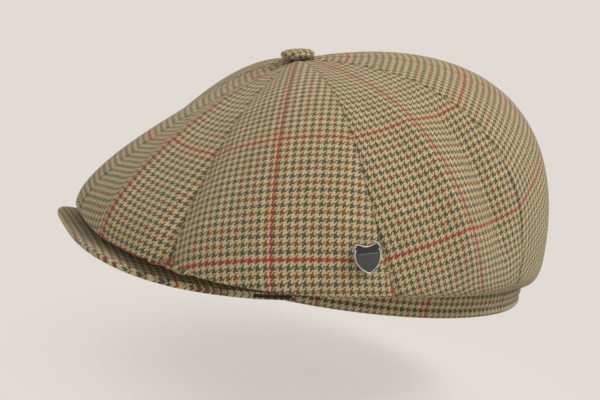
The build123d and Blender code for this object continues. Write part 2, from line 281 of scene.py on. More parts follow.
def tweed(name, tone=1.0):
    """Wool check: pale and dark sets of threads, green and brown by turns, with red lines."""
    finish = Finish(name)
    across, down = finish.uv("cloth")
    rough = finish.point(across, down)
    wander = finish.noise(rough, 0.55, 3.0)
    drift = finish.noise(rough, 0.21, 1.0)
    across = across + (wander - 0.5) * 0.55
    down = down + (drift - 0.5) * 0.9
    warp = (across / THREAD).floor()
    weft = (down / THREAD).floor()
    lean = (warp + weft) % 4.0
    over = lean < 1.5
    half = SET / 2

    def yarn(count, line):
        dark = (count % float(SET)) < (half - 0.5)
        green = (count % float(2 * SET)) < (SET - 0.5)
        ground = finish.blend(finish.speckle(finish.point(count, 3.0)), PALE, SAND)
        tooth = finish.blend(green, RUST, MOSS)
        cloth = finish.blend(dark, ground, tooth)
        return finish.blend(line, cloth, RED)

    red_warp = abs((across + CHECK_ACROSS / 2) % CHECK_ACROSS - CHECK_ACROSS / 2) < (
        RED_THREADS * THREAD / 2)
    level = (down - FIRST_LEVEL + CHECK_DOWN / 2) % CHECK_DOWN - CHECK_DOWN / 2
    red_weft = abs(level) < (RED_THREADS * THREAD / 2)
    colour = finish.blend(over, yarn(weft, red_weft), yarn(warp, red_warp))
    heavy = red_warp * (lean < 2.5) + (1 - red_warp) * red_weft * (lean > 0.5)
    colour = finish.blend(heavy, colour, RED)
    fibre = finish.noise(rough, 3.2, 3.0, 0.7)
    slub = finish.speckle(finish.point(warp, weft))
    light = 0.76 + fibre * 0.36 + slub * 0.12
    edge, along = finish.uv("edge")
    stitch = (edge < 0.75) * ((along % 2.6) < 1.7) * (edge > 0.25)
    # Painted shade along the seams: the cloth is drawn up to 12% darker within a millimetre of a
    # piece's side edges.
    seam_shade = 1 - (1 - edge.between(0.0, 1.0)) * 0.12
    colour = finish.shade(colour, light * seam_shade * tone)
    colour = finish.blend(stitch * 0.2, colour, SHADOW)
    round_warp = abs((across / THREAD * math.pi).sine())
    round_weft = abs((down / THREAD * math.pi).sine())
    thread = over * round_warp + (1 - over) * round_weft
    height = thread * 0.55 + fibre * 0.7 + wander * 0.5 - stitch * 0.4
    finish.bump(height, 0.00028, 0.8)
    finish.set(Base_Color=colour, Roughness=0.9 - fibre * 0.1, Sheen_Weight=0.22,
               Sheen_Roughness=0.5, Sheen_Tint=(0.95, 0.88, 0.72, 1.0),
               Specular_IOR_Level=0.22)
    return finish.material


def satin(name, colour, deep):
    """Fine twill lining with a soft shine and creases."""
    finish = Finish(name)
    across, down = finish.uv("cloth")
    place = finish.point(across, down)
    ribs = ((across + down) * (2 * math.pi / 0.45)).sine() * 0.5 + 0.5
    cloud = finish.noise(place, 0.09, 3.0)
    crease = finish.noise(finish.point(across * 0.35, down * 0.07), 1.0, 4.0, 0.6)
    edge, along = finish.uv("edge")
    stitch = (edge < 1.4) * (edge > 0.9) * ((along % 2.4) < 1.6)
    tone = 0.72 + ribs * 0.16 + cloud * 0.32
    # Painted shade along the seams: the lining is drawn up to 35% darker within 1.5 mm of each
    # gore's side edges.
    tone = tone * (0.65 + edge.between(0.0, 1.5) * 0.35)
    shade = finish.shade(finish.blend(crease, colour, deep), tone)
    finish.bump(ribs * 0.12 + crease * 2.2 - stitch * 0.8, 0.0005, 0.7)
    finish.set(Base_Color=finish.blend(stitch * 0.6, shade, deep), Roughness=0.36 + cloud * 0.18,
               Sheen_Weight=0.15, Specular_IOR_Level=0.5)
    return finish.material


def ribbed_tape(name, colour, deep):
    """Ribbed sweatband tape with two rows of stitching."""
    finish = Finish(name)
    along, up = finish.uv("cloth")
    ribs = (along * (2 * math.pi / 0.9)).sine() * 0.5 + 0.5
    place = finish.point(along, up)
    cloud = finish.noise(place, 0.12, 4.0)
    edge, run = finish.uv("edge")
    stitch = (edge > 1.8) * (edge < 2.4) * ((run % 3.0) < 2.1)
    tone = 0.66 + ribs * 0.22 + cloud * 0.3
    colour = finish.blend(stitch, finish.shade(finish.blend(cloud, colour, deep), tone), deep)
    finish.bump(ribs * 0.6 + cloud * 0.5 - stitch * 0.9, 0.0004, 0.9)
    finish.set(Base_Color=colour, Roughness=0.72 - ribs * 0.1, Specular_IOR_Level=0.3)
    return finish.material


def board(name, colour, deep, grain):
    """Pressed fibre board or stiff woven canvas, flecked."""
    finish = Finish(name)
    place = finish.place()
    fleck = finish.noise(place, grain, 5.0, 0.75)
    cloud = finish.noise(place, grain / 9, 3.0)
    finish.bump(fleck, 0.0003, 0.7)
    finish.set(Base_Color=finish.shade(finish.blend(cloud, colour, deep), 0.7 + fleck * 0.5),
               Roughness=0.75 + fleck * 0.2)
    return finish.material


def metal(name, colour, roughness, brush=2200.0):
    """Plated metal with fine brushing, tarnish and handling marks."""
    finish = Finish(name)
    place = finish.place()
    cloud = finish.noise(place, 260.0, 4.0)
    mark = finish.noise(place, brush, 3.0, 0.7)
    finish.bump(mark, 0.00003, 0.5)
    finish.set(Base_Color=finish.shade(colour, 0.78 + cloud * 0.3), Metallic=1.0,
               Roughness=roughness + cloud * 0.14 + mark * 0.06)
    return finish.material


def enamel(name, colour, glint):
    """Hard enamel: deep colour with painted glints, fine lighter specks, under a clear, slightly
    orange-peeled face.
    """
    finish = Finish(name)
    place = finish.place()
    fleck = finish.noise(place, 2600.0, 3.0, 0.8)
    cloud = finish.noise(place, 240.0, 2.0)
    finish.bump(cloud, 0.00004, 0.4)
    # Painted glints: the colour is lightened towards the glint colour in fine specks.
    finish.set(Base_Color=finish.blend(fleck * cloud, colour, glint), Roughness=0.2 + cloud * 0.12,
               Coat_Weight=0.35, Coat_Roughness=0.12)
    return finish.material


TWEED = tweed("wool_check")
LINING = satin("lining_satin", linear(92, 74, 48), linear(54, 42, 28))
TAPE = ribbed_tape("sweatband_tape", linear(64, 54, 42), linear(34, 28, 22))
CANVAS = board("interlining_canvas", linear(196, 184, 156), linear(158, 146, 118), 900.0)
BOARD = board("visor_board", linear(70, 66, 60), linear(44, 42, 40), 500.0)
STEEL = metal("button_steel", linear(150, 148, 142), 0.38)
SILVER = metal("shield_silver", linear(196, 194, 190), 0.26)
BRASS = metal("clutch_brass", linear(188, 158, 92), 0.3)
BLACK_ENAMEL = enamel("enamel_black", linear(16, 15, 15), linear(40, 38, 38))
GREY_ENAMEL = enamel("enamel_charcoal", linear(42, 43, 44), linear(70, 71, 72))


# ---- shape of the crown ----

def round_the_cap(stations, angle):
    """Smooth even curve through five values at 0, 45, 90, 135 and 180 degrees."""
    last = len(stations) - 1
    total = 0.0
    for order in range(last + 1):
        weight = sum((0.5 if place in (0, last) else 1.0) * stations[place]
                     * math.cos(order * place * math.pi / last) for place in range(last + 1))
        weight *= (1.0 if order in (0, last) else 2.0) / last
        total = total + weight * np.cos(order * angle)
    return total


def front_side_back(values, angle):
    front, side, back = values
    lengthwise = np.cos(angle) ** 2
    return np.where(np.cos(angle) > 0, front, back) * lengthwise + side * (1 - lengthwise)


def bezier(a, b, c, d, t):
    s = 1 - t
    return s * s * s * a + 3 * s * s * t * b + 3 * s * t * t * c + t * t * t * d


def step(low, high, value):
    share = np.clip((value - low) / (high - low), 0, 1)
    return share * share * (3 - 2 * share)


def oval_distance(angle, outward):
    """From the button's axis to an oval that lies this far outside the head opening."""
    half_width, half_length = HEAD[0] + outward, HEAD[1] + outward
    across, along = np.sin(angle), -np.cos(angle)
    a = (across / half_width) ** 2 + (along / half_length) ** 2
    b = 2 * APEX[1] * along / half_length ** 2
    c = (APEX[1] / half_length) ** 2 - 1
    return (-b + np.sqrt(b * b - 4 * a * c)) / (2 * a)


def lobe(angle, middle, spread):
    """1 at the middle direction, down to 0 this many degrees to each side of it."""
    away = (angle - math.radians(middle) + math.pi) % (2 * math.pi) - math.pi
    share = np.clip(np.abs(away) / math.radians(spread), 0, 1)
    return (1 - share ** 2) ** 2


def rim_radius(angle):
    return round_the_cap(RIM_RADIUS, angle) - HOLLOW * lobe(angle, HOLLOW_MIDDLE, HOLLOW_SPREAD)


def rim_height(angle):
    return round_the_cap(RIM_HEIGHT, angle) - SIDE_SLUMP * np.sin(angle)


def crown_base(angle, across, t):
    """Outside of the smooth crown: t is 0 at the button, 1 at the rim and 2 at the band."""
    rim, height = rim_radius(angle), rim_height(angle)
    reach = front_side_back(TOP_REACH, angle) * rim
    drop = front_side_back(TOP_DROP, angle) * reach
    wall = front_side_back(WALL_REACH, angle) * (CROWN_HEIGHT - height)
    roll = round_the_cap(ROLL_DEPTH, angle)
    edge = oval_distance(angle, BAND_OUTSIDE + 0.3 + front_side_back(EDGE_STANDOFF, angle))
    under = edge + front_side_back(UNDER_REACH, angle) * (rim - edge)
    top, low = np.clip(t, 0, 1), np.clip(t - 1, 0, 1)
    over = t <= 1
    out = np.where(over, bezier(0, reach, rim, rim, top), bezier(rim, rim, under, edge, low))
    up = np.where(over,
                  bezier(CROWN_HEIGHT, CROWN_HEIGHT - drop, height + wall, height, top),
                  bezier(height, height - roll, EDGE_HEIGHT - roll / 2, EDGE_HEIGHT, low))
    ridge = (1 - np.abs(across) ** 1.6) * np.sin(np.pi * t / 2)
    out = out + PANEL_BULGE * ridge
    slip = math.radians(SLIP) * lobe(angle, SLIP_MIDDLE, SLIP_SPREAD) * np.clip(t, 0, 1.3) ** 2
    around = angle + slip
    return np.stack([out * np.sin(around), APEX[1] - out * np.cos(around), up], -1)


def normals(grid):
    """Outward normals of a grid of points, rows by columns."""
    down = np.gradient(grid, axis=0)
    across = np.gradient(grid, axis=1)
    normal = np.cross(down, across)
    return normal / np.maximum(np.linalg.norm(normal, axis=-1, keepdims=True), 1e-9)


# Folds and hollows that the cap has settled into: degrees and curve parameter at the start,
# the same at the end, half width, height, and how sharp the fold is.
FOLDS = [
    (21, 0.16, 22, 0.95, 7, 4.0, 1.2),
    (46, 0.45, 45, 1.25, 7, -5.0, 1.2),
    (90, 0.35, 90, 1.05, 7, -1.6, 1.3),
    (110, 0.25, 110, 0.95, 10, 4.0, 1.4),
    (126, 0.35, 124, 0.95, 10, -6.5, 1.6),
]


def fold_at(points, fold):
    start_angle, start_t, end_angle, end_t, width, height, power = fold
    steps = np.linspace(0, 1, 24)
    angles = np.radians(start_angle + (end_angle - start_angle) * steps)
    ts = start_t + (end_t - start_t) * steps
    line = crown_base(angles, np.zeros(24), ts)
    fade = np.sin(np.pi * np.clip(steps, 0.02, 0.98)) ** 0.6
    gaps = np.linalg.norm(points[..., None, :] - line, axis=-1)
    nearest = gaps.argmin(-1)
    distance = gaps.min(-1) / width
    return height * fade[nearest] * np.exp(-distance ** power)


ROWS, COLUMNS = 112, 44


def gore_grid(surface, middle, start, end, rows, columns):
    """Rows by columns of points over one gore, close together near its seams."""
    share = np.linspace(-1, 1, columns + 1)
    across = np.sin(share * math.pi / 2) * 0.55 + share * 0.45
    steps = np.linspace(0, 1, rows + 1)
    ts = start + (end - start) * steps
    t, a = np.meshgrid(ts, across, indexing="ij")
    return surface(middle + a * math.pi / PANELS, a, t), a, t


def flat_layout(grid, first):
    """The gore laid flat: distance from its middle line, and distance from its point."""
    rows, columns = grid.shape[:2]
    centre = columns // 2
    hops = np.linalg.norm(np.diff(grid, axis=1), axis=-1)
    run = np.concatenate([np.zeros((rows, 1)), np.cumsum(hops, axis=1)], axis=1)
    across = run - run[:, centre:centre + 1]
    lengths = np.linalg.norm(np.diff(grid, axis=0), axis=-1)
    sideways = np.diff(across, axis=0)
    falls = np.sqrt(np.maximum(lengths ** 2 - sideways ** 2, 0.04 * lengths ** 2))
    down = np.concatenate([np.zeros((1, columns)), np.cumsum(falls, axis=0)]) + first
    share = np.linspace(0, 1, columns)
    chord = down[:, :1] * (1 - share) + down[:, -1:] * share
    down += LEVEL_EASE * (chord - down)
    return np.stack([across, down], -1)


# ---- pieces from grids ----

def add_piece(name, verts, faces, layouts, material, body, nodes):
    """A mesh object in metres, with its flat layouts, finish, body and the nodes it stands for."""
    mesh = bpy.data.meshes.new(name)
    mesh.from_pydata((np.asarray(verts) * MM).tolist(), [], faces)
    corners = np.fromiter((corner for face in faces for corner in face), int)
    for label, layout in layouts.items():
        layer = mesh.uv_layers.new(name=label)
        layer.data.foreach_set("uv", layout(corners).astype(np.float32).ravel())
    mesh.polygons.foreach_set("use_smooth", [True] * len(faces))
    mesh.materials.append(material)
    mesh.update()
    piece = bpy.data.objects.new(name, mesh)
    bpy.context.scene.collection.objects.link(piece)
    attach(piece, body)
    if nodes:
        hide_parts(*nodes)
    return piece


EDGE_STEPS = 4


def cloth_sheet(name, grid, wall, cloth, material, nodes, body="cap", closed=False):
    """A closed sheet of cloth, wall thick behind a grid, with rounded edges.

    A closed grid runs right round, with no side edges."""
    rows, columns = grid.shape[:2]
    if closed:
        wide = np.concatenate([grid[:, -2:-1], grid, grid[:, 1:2]], axis=1)
        normal = normals(wide)[:, 1:-1]
    else:
        normal = normals(grid)
    layers = []
    for place in range(EDGE_STEPS + 1):
        turn = math.pi * place / EDGE_STEPS
        layers.append((wall / 2 * (1 - math.cos(turn)), wall / 2 * math.sin(turn)))
    ring = [(0, c) for c in range(columns)]
    if not closed:
        ring += [(r, columns - 1) for r in range(1, rows)]
        ring += [(rows - 1, c) for c in range(columns - 2, -1, -1)]
        ring += [(r, 0) for r in range(rows - 2, 0, -1)]
        rings = [ring]
    else:
        rings = [ring, [(rows - 1, c) for c in range(columns)][::-1]]
    count = rows * columns
    outer = grid.reshape(-1, 3)
    inner = (grid - normal * wall).reshape(-1, 3)
    verts = [outer, inner]
    flat = [cloth.reshape(-1, 2), cloth.reshape(-1, 2)]
    number = np.arange(count).reshape(rows, columns)
    faces = []
    sides = []
    for r in range(rows - 1):
        for c in range(columns - 1):
            a, b = number[r, c], number[r, c + 1]
            d, e = number[r + 1, c], number[r + 1, c + 1]
            faces.append((a, d, e, b))
            sides.append(0)
            faces.append((a + count, b + count, e + count, d + count))
            sides.append(1)
    total = 2 * count
    for ring in rings:
        index = [number[r, c] for r, c in ring]
        points = np.array([grid[r, c] for r, c in ring])
        behind = np.array([normal[r, c] for r, c in ring])
        inward = np.array([
            grid[min(max(r, 1), rows - 2), min(max(c, 1), columns - 2) if not closed else c]
            for r, c in ring])
        out = points - inward
        out -= behind * (out * behind).sum(-1, keepdims=True)
        out /= np.maximum(np.linalg.norm(out, axis=-1, keepdims=True), 1e-6)
        loops = [index]
        flat_ring = np.array([cloth[r, c] for r, c in ring])
        flat_in = np.array([cloth[min(max(r, 1), rows - 2), min(max(c, 1), columns - 2)]
                            for r, c in ring])
        flat_out = flat_ring - flat_in
        flat_out /= np.maximum(np.linalg.norm(flat_out, axis=-1, keepdims=True), 1e-6)
        for depth, bulge in layers[1:-1]:
            verts.append(points - behind * depth + out * bulge)
            flat.append(flat_ring + flat_out * bulge * math.pi / 2)
            loops.append(list(range(total, total + len(ring))))
            total += len(ring)
        loops.append([i + count for i in index])
        last = len(ring) if not closed else len(ring) - 1
        for near, far in zip(loops, loops[1:]):
            for k in range(last):
                n = (k + 1) % len(ring)
                faces.append((near[k], near[n], far[n], far[k]))
                sides.append(2)
    verts = np.concatenate(verts)
    flat = np.concatenate(flat)
    low, high = flat.min(0), flat.max(0)
    span = (high - low).max()
    side_of = np.repeat(sides, 4)
    edge_map = edge_layout(cloth, closed)
    edges = np.concatenate([edge_map.reshape(-1, 2)] * 2 + [
        np.zeros((len(flat) - 2 * count, 2))])

    def cloth_uv(corners):
        return flat[corners]

    def edge_uv(corners):
        return edges[corners]

    def bake_uv(corners):
        uv = (flat[corners] - low) / span * [0.48, 0.96] + 0.01
        uv[:, 0] += np.where(side_of == 0, 0.0, 0.5)
        return uv

    return add_piece(name, verts, faces, {
        "OFBake": bake_uv, "cloth": cloth_uv, "edge": edge_uv}, material, body, nodes)


def edge_layout(cloth, closed):
    """Distance to the nearest side or end edge, and the run along it."""
    left = np.abs(cloth[..., 0] - cloth[:, :1, 0])
    right = np.abs(cloth[..., 0] - cloth[:, -1:, 0])
    top = np.abs(cloth[..., 1] - cloth[:1, :, 1])
    low = np.abs(cloth[..., 1] - cloth[-1:, :, 1])
    if closed:
        distance = np.minimum(top, low)
        return np.stack([distance, cloth[..., 0]], -1)
    distance = np.minimum(left, right)
    return np.stack([distance, cloth[..., 1]], -1)


def flat_size(cloth):
    """Width, length and area of a flat layout, in metres."""
    size = (cloth.reshape(-1, 2).max(0) - cloth.reshape(-1, 2).min(0)) * MM
    a = cloth[1:, 1:] - cloth[:-1, :-1]
    b = cloth[1:, :-1] - cloth[:-1, 1:]
    area = np.abs(a[..., 0] * b[..., 1] - a[..., 1] * b[..., 0]).sum() / 2 * MM * MM
    return (float(size[0]), float(size[1])), float(min(area, size[0] * size[1]))


def declare(cloth):
    flat, area = flat_size(cloth)


# ---- crown and lining ----

def crown_surface(angle, across, t):
    points = crown_base(angle, across, t)
    normal = normals(points)
    lift = sum(fold_at(points, fold) for fold in FOLDS)
    return points + normal * lift[..., None]


for number, name in enumerate(PANEL_NAMES):
    middle = (number + 0.5) * 2 * math.pi / PANELS
    start = TIP_RADIUS / (3 * front_side_back(TOP_REACH, middle) * rim_radius(middle))
    grid, across, t = gore_grid(crown_surface, middle, start, 2.0, ROWS, COLUMNS)
    cloth = flat_layout(grid, TIP_RADIUS)
    gap = np.abs(cloth[..., 0] - np.where(across < 0, cloth[:, :1, 0], cloth[:, -1:, 0]))
    near = np.clip(1 - gap / SEAM_WIDTH, 0, 1)
    pucker = PUCKER * np.sin(cloth[..., 1] / 4.3 + number) * near * step(0.1, 0.4, t)
    normal = normals(grid)
    grid = grid - normal * (SEAM_DIP * near ** 2.2 + pucker)[..., None]
    panel = cloth_sheet("crown_panel_" + name + "_cloth", grid, CLOTH_WALL, cloth, TWEED,
                        ["crown_panel_" + name])
    declare(cloth)

LINING_TOP = 106.0
LINING_EDGE = 29.5
LINING_EDGE_OUTSIDE = 2.0
LINING_FULL = 0.5       # share of the crown's overhang that the lining fills
LINING_CLOTH = 0.6
LINING_TIP = 0.012
LINING_HEIGHT = [22.0, 20.0, 28.0, 44.0, 38.0]
LINING_REACH = [0.25, 0.62, 0.66]
LINING_DROP = [0.5, 0.0, -0.24]
LINING_WALL = [0.5, 0.3, 0.85]
LINING_SEAM_DIP = 1.2
LINING_GATHER = 0.8


def lining_surface(angle, across, t):
    """The lining hangs as one soft dome inside the crown."""
    edge = oval_distance(angle, LINING_EDGE_OUTSIDE)
    rim = edge + LINING_FULL * (round_the_cap(RIM_RADIUS, angle) - edge)
    reach = front_side_back(LINING_REACH, angle) * rim
    drop = front_side_back(LINING_DROP, angle) * reach
    height = round_the_cap(LINING_HEIGHT, angle)
    wall = front_side_back(LINING_WALL, angle) * (LINING_TOP - height)
    out = bezier(0, reach, rim, edge, t)
    up = bezier(LINING_TOP, LINING_TOP - drop, height + wall, LINING_EDGE, t)
    seam = LINING_SEAM_DIP * np.abs(across) ** 3 * np.sin(np.pi * t)
    out = out - seam - LINING_GATHER * (np.sin(angle * 37 + t * 5) * t * t)
    return np.stack([out * np.sin(angle), APEX[1] - out * np.cos(angle), up], -1)


for number, name in enumerate(PANEL_NAMES):
    middle = (number + 0.5) * 2 * math.pi / PANELS
    grid = gore_grid(lining_surface, middle, LINING_TIP, 1.0, 60, 24)[0]
    cloth = flat_layout(grid, 2.0)
    gore = cloth_sheet("lining_gore_" + name + "_satin", grid, LINING_CLOTH, cloth, LINING,
                       ["lining_gore_" + name])
    declare(cloth)


# ---- band and sweatband ----

def oval_points(angle, outward, height):
    """Points round the head opening; the angle is from the front towards the wearer's left."""
    return np.stack([(HEAD[0] + outward) * np.sin(angle),
                     -(HEAD[1] + outward) * np.cos(angle), height + 0 * angle], -1)


def band_strip(first, last, rows, columns, outside, low, high):
    """Grid from the top edge down, over a part of the way round."""
    angles = np.radians(np.linspace(first, last, columns + 1))
    heights = np.linspace(high, low, rows + 1)
    angle, height = np.meshgrid(angles, heights)
    grid = oval_points(angle, outside, height)
    run = np.concatenate([[0], np.cumsum(np.linalg.norm(np.diff(grid[0], axis=0), axis=1))])
    cloth = np.stack([np.broadcast_to(run, height.shape), high - height], -1)
    return grid, cloth, angle, height


BAND_TUCK = 4.5         # height of the crease round the band
BAND_SHIFT = (12.0 - CHECK_ACROSS * 2, FIRST_LEVEL - 6.0)   # where the check falls on it
for side, first, last in [("left", 0.25, 179.75), ("right", 180.25, 359.75)]:
    grid, cloth, angle, height = band_strip(first, last, 30, 200, BAND_OUTSIDE, 0.0, BAND_HEIGHT)
    normal = normals(grid)
    crease = np.exp(-((height - BAND_TUCK) / 0.9) ** 2)
    swell = np.sin(np.clip(height / BAND_HEIGHT, 0, 1) * math.pi) * 0.9
    lip = np.exp(-((height - 1.6) / 1.6) ** 2) * 0.5
    foot = -0.5 * np.clip(1 - height / 1.2, 0, 1) ** 2
    grid = grid + normal * (swell + lip + foot - 0.9 * crease)[..., None]
    cloth = cloth + list(BAND_SHIFT)
    strip = cloth_sheet("band_cloth_" + side + "_wool", grid, BAND_OUTSIDE - BAND_INSIDE, cloth,
                        TWEED, ["band_cloth_" + side])
    declare(cloth)

grid, cloth, angle, height = band_strip(0, 360, 24, 360, 1.2, 1.5, 33.5)
swell = 0.5 * np.sin(angle * 9) * np.sin((height - 1.5) / 32 * math.pi) ** 2
normal = normals(grid)
grid = grid + normal * np.minimum(swell, 0)[..., None]
tape = cloth_sheet("sweatband_tape", grid, 1.2, cloth, TAPE, ["sweatband"],
                   closed=True)
declare(cloth)


# ---- visor ----

def visor_point(turn, out, lift):
    """Middle layer of the visor: turn -1 to 1 from end to end, out 0 at the root to 1."""
    root_angle = turn * math.radians(VISOR_ROOT_ANGLE)
    half_width, half_length = HEAD + BAND_OUTSIDE + 0.4
    root_x = half_width * np.sin(root_angle)
    root_y = -half_length * np.cos(root_angle)
    end_x = half_width * math.sin(math.radians(VISOR_ROOT_ANGLE))
    end_y = half_length * math.cos(math.radians(VISOR_ROOT_ANGLE))
    quarter = turn * math.pi / 2
    edge_x = end_x * np.sign(turn) * np.abs(np.sin(quarter)) ** VISOR_FULLNESS
    edge_y = -end_y - (VISOR_FRONT - end_y) * np.cos(quarter) ** VISOR_FULLNESS
    arch = np.cos(quarter) ** 2
    root_z = VISOR_END_HEIGHT + (VISOR_ROOT_HEIGHT - VISOR_END_HEIGHT) * arch
    edge_z = VISOR_END_HEIGHT + (VISOR_FRONT_HEIGHT - VISOR_END_HEIGHT) * arch
    return np.stack([root_x + (edge_x - root_x) * out, root_y + (edge_y - root_y) * out,
                     root_z + (edge_z - root_z) * out + lift], -1)


def visor_sheet(name, side, node):
    """Cloth over or under the board, rolled round its outer edge."""
    turns = VISOR_TURN * np.sin(np.linspace(-1, 1, 161) * math.pi / 2)
    steps = np.linspace(0, 1, 41)
    turn, out = np.meshgrid(turns, steps)
    rolled = np.clip((steps - VISOR_ROLL) / (1 - VISOR_ROLL), 0, 1)
    half = VISOR_CLOTH
    depth = side * np.cos(rolled * math.pi / 2) * half
    push = np.sin(rolled * math.pi / 2) * half
    reach = np.where(steps < VISOR_ROLL, steps / VISOR_ROLL, 1.0)
    root = visor_point(turn, 0 * turn, 0)
    edge = visor_point(turn, 0 * turn + 1, 0)
    ray = edge - root
    length = np.linalg.norm(ray, axis=-1, keepdims=True)
    ray = ray / np.maximum(length, 1e-6)
    share = reach[:, None, None] * np.maximum(length - half - 0.2, 1.0)
    grid = root + ray * (share + push[:, None, None])
    grid[..., 2] += depth[:, None] + (0.08 if side > 0 else -0.08)
    if side < 0:
        grid = grid[:, ::-1]
    columns = grid.shape[1]
    cloth = np.stack([grid[..., 0], -grid[..., 1] - VISOR_CHECK + FIRST_LEVEL], -1)
    bend = rolled * math.pi / 2
    past = ((bend - np.sin(bend)) * half)[:, None]
    cloth += np.stack([ray[..., 0] * past, -ray[..., 1] * past], -1)
    piece = cloth_sheet(name, grid, 0.9, cloth, TWEED, [node])
    return piece, cloth


for label, side in [("top", 1), ("under", -1)]:
    piece, cloth = visor_sheet("visor_" + label + "_wool", side, "visor_" + label + "_cloth")
    declare(cloth)


def visor_board_sheet():
    """Stiff board between the cloths, a hem short of their edge."""
    turns = VISOR_TURN * np.sin(np.linspace(-1, 1, 121) * math.pi / 2) * 0.97
    turn, out = np.meshgrid(turns, np.linspace(0.02, 1, 21))
    root, edge = visor_point(turn, 0 * turn, 0), visor_point(turn, 0 * turn + 1, 0)
    length = np.linalg.norm(edge - root, axis=-1, keepdims=True)
    share = np.maximum(1 - VISOR_HEM / np.maximum(length, 1e-6), 0.1)
    grid = root + (edge - root) * out[..., None] * share
    grid[..., 2] += VISOR_BOARD_WALL / 2
    cloth = np.stack([grid[..., 0], -grid[..., 1]], -1)
    return cloth_sheet("visor_stiff_board", grid, VISOR_BOARD_WALL, cloth, BOARD,
                       ["visor_board"])


visor_board_sheet()


# ---- covered button ----

def turned(name, profile, turns, material, nodes, place, body="cap", ripple=None):
    """A closed form turned round its axis from a profile of radius and height."""
    rows = len(profile)
    angles = np.linspace(0, 2 * math.pi, turns, endpoint=False)
    radius = np.array([p[0] for p in profile])[:, None]
    height = np.array([p[1] for p in profile])[:, None]
    if ripple is not None:
        radius = radius * (1 + ripple[:, None] * np.sin(angles * 14)[None, :])
    grid = np.stack([radius * np.sin(angles), -radius * np.cos(angles),
                     height + 0 * angles], -1)
    verts = grid.reshape(-1, 3)
    faces = []
    for r in range(rows - 1):
        for c in range(turns):
            n = (c + 1) % turns
            faces.append((r * turns + c, (r + 1) * turns + c, (r + 1) * turns + n, r * turns + n))
    top, low = len(verts), len(verts) + 1
    verts = np.concatenate([verts, [[0, 0, profile[0][1]], [0, 0, profile[-1][1]]]])
    for c in range(turns):
        n = (c + 1) % turns
        faces.append((top, c, n))
        faces.append((low, (rows - 1) * turns + n, (rows - 1) * turns + c))
    flat = verts[:, :2].copy()
    lengths = np.concatenate([[0], np.cumsum(np.hypot(
        np.diff(radius[:, 0]), np.diff(height[:, 0])))]) + profile[0][0]
    scale = np.where(radius[:, 0] > 0.01, lengths / np.maximum(radius[:, 0], 0.01), 1.0)
    flat[:rows * turns] *= np.repeat(np.minimum(scale, 6.0), turns)[:, None]
    span = np.abs(flat).max() * 2.02
    verts = verts @ np.array(place.to_3x3()).T + np.array(place.translation)
    edge = np.full((len(verts), 2), 9.0)

    return add_piece(name, verts, faces, {
        "OFBake": lambda corners: flat[corners] / span + 0.5,
        "cloth": lambda corners: flat[corners] + [CHECK_ACROSS + 4.0, FIRST_LEVEL + CHECK_DOWN / 2],
        "edge": lambda corners: edge[corners]}, material, body, nodes)


BUTTON_FOOT = 117.0
seat = (Matrix.Translation((0, APEX[1], BUTTON_FOOT))
        @ Matrix.Rotation(math.radians(BUTTON_TILT), 4, "X"))
profile = []
for number in range(40):
    turn = number / 39 * math.pi * 0.94
    radius = BUTTON_RADIUS * abs(math.sin(turn)) ** 0.72
    rise = math.copysign(abs(math.cos(turn)) ** 0.85, math.cos(turn))
    height = BUTTON_HEIGHT * (0.50 + 0.50 * rise)
    profile.append((max(radius, 0.05), height))
gathers = np.array([0.0 if p[1] > BUTTON_HEIGHT * 0.45 else
                    0.05 * (1 - p[1] / (BUTTON_HEIGHT * 0.45)) for p in profile])
turned("button_wool", profile, 96, TWEED, ["button_cloth_cover"], seat,
       ripple=gathers)


# ---- shield pin ----

def shield_outline(inset):
    """Shield outline, point down, drawn in by an inset, anticlockwise from the top right."""
    half, tall = SHIELD_WIDTH / 2 - inset, SHIELD_HEIGHT / 2 - inset
    shape = [(0.0, 0.80), (0.30, 0.84), (0.58, 0.93), (0.78, 1.0), (0.86, 0.90), (0.98, 0.78),
             (0.90, 0.58), (1.0, 0.34), (0.97, 0.02), (0.84, -0.32), (0.60, -0.62),
             (0.32, -0.84), (0.0, -1.0)]
    right = [(half * x, tall * y) for x, y in shape]
    points = right + [(-x, y) for x, y in right[-2:0:-1]]
    closed = np.array(points)
    smooth = []
    for k in range(len(closed)):
        a, b, c, d = (closed[(k + i) % len(closed)] for i in (-1, 0, 1, 2))
        for s in np.linspace(0, 1, 5, endpoint=False):
            smooth.append(0.5 * ((2 * b) + (c - a) * s + (2 * a - 5 * b + 4 * c - d) * s * s
                                 + (3 * b - a - 3 * c + d) * s ** 3))
    return np.array(smooth)[::-1]


def stacked(name, rings, material, nodes, place, body):
    """A closed form from rings of equal count, first ring capped, last ring capped."""
    count = len(rings[0])
    verts = np.concatenate(rings)
    faces = []
    for r in range(len(rings) - 1):
        for c in range(count):
            n = (c + 1) % count
            faces.append((r * count + c, r * count + n, (r + 1) * count + n, (r + 1) * count + c))
    for r, flip in ((0, True), (len(rings) - 1, False)):
        centre = len(verts)
        verts = np.concatenate([verts, [verts[r * count:(r + 1) * count].mean(0)]])
        for c in range(count):
            n = (c + 1) % count
            face = (r * count + c, r * count + n, centre)
            faces.append(face[::-1] if flip else face)
    flat = verts[:, :2].copy()
    span = np.abs(flat).max() * 2.02
    verts = verts @ np.array(place.to_3x3()).T + np.array(place.translation)
    return add_piece(name, verts, faces, {
        "OFBake": lambda corners: flat[corners] / span + 0.5}, material, body, nodes)


def ring_at(outline, height):
    return np.column_stack([outline, np.full(len(outline), height)])


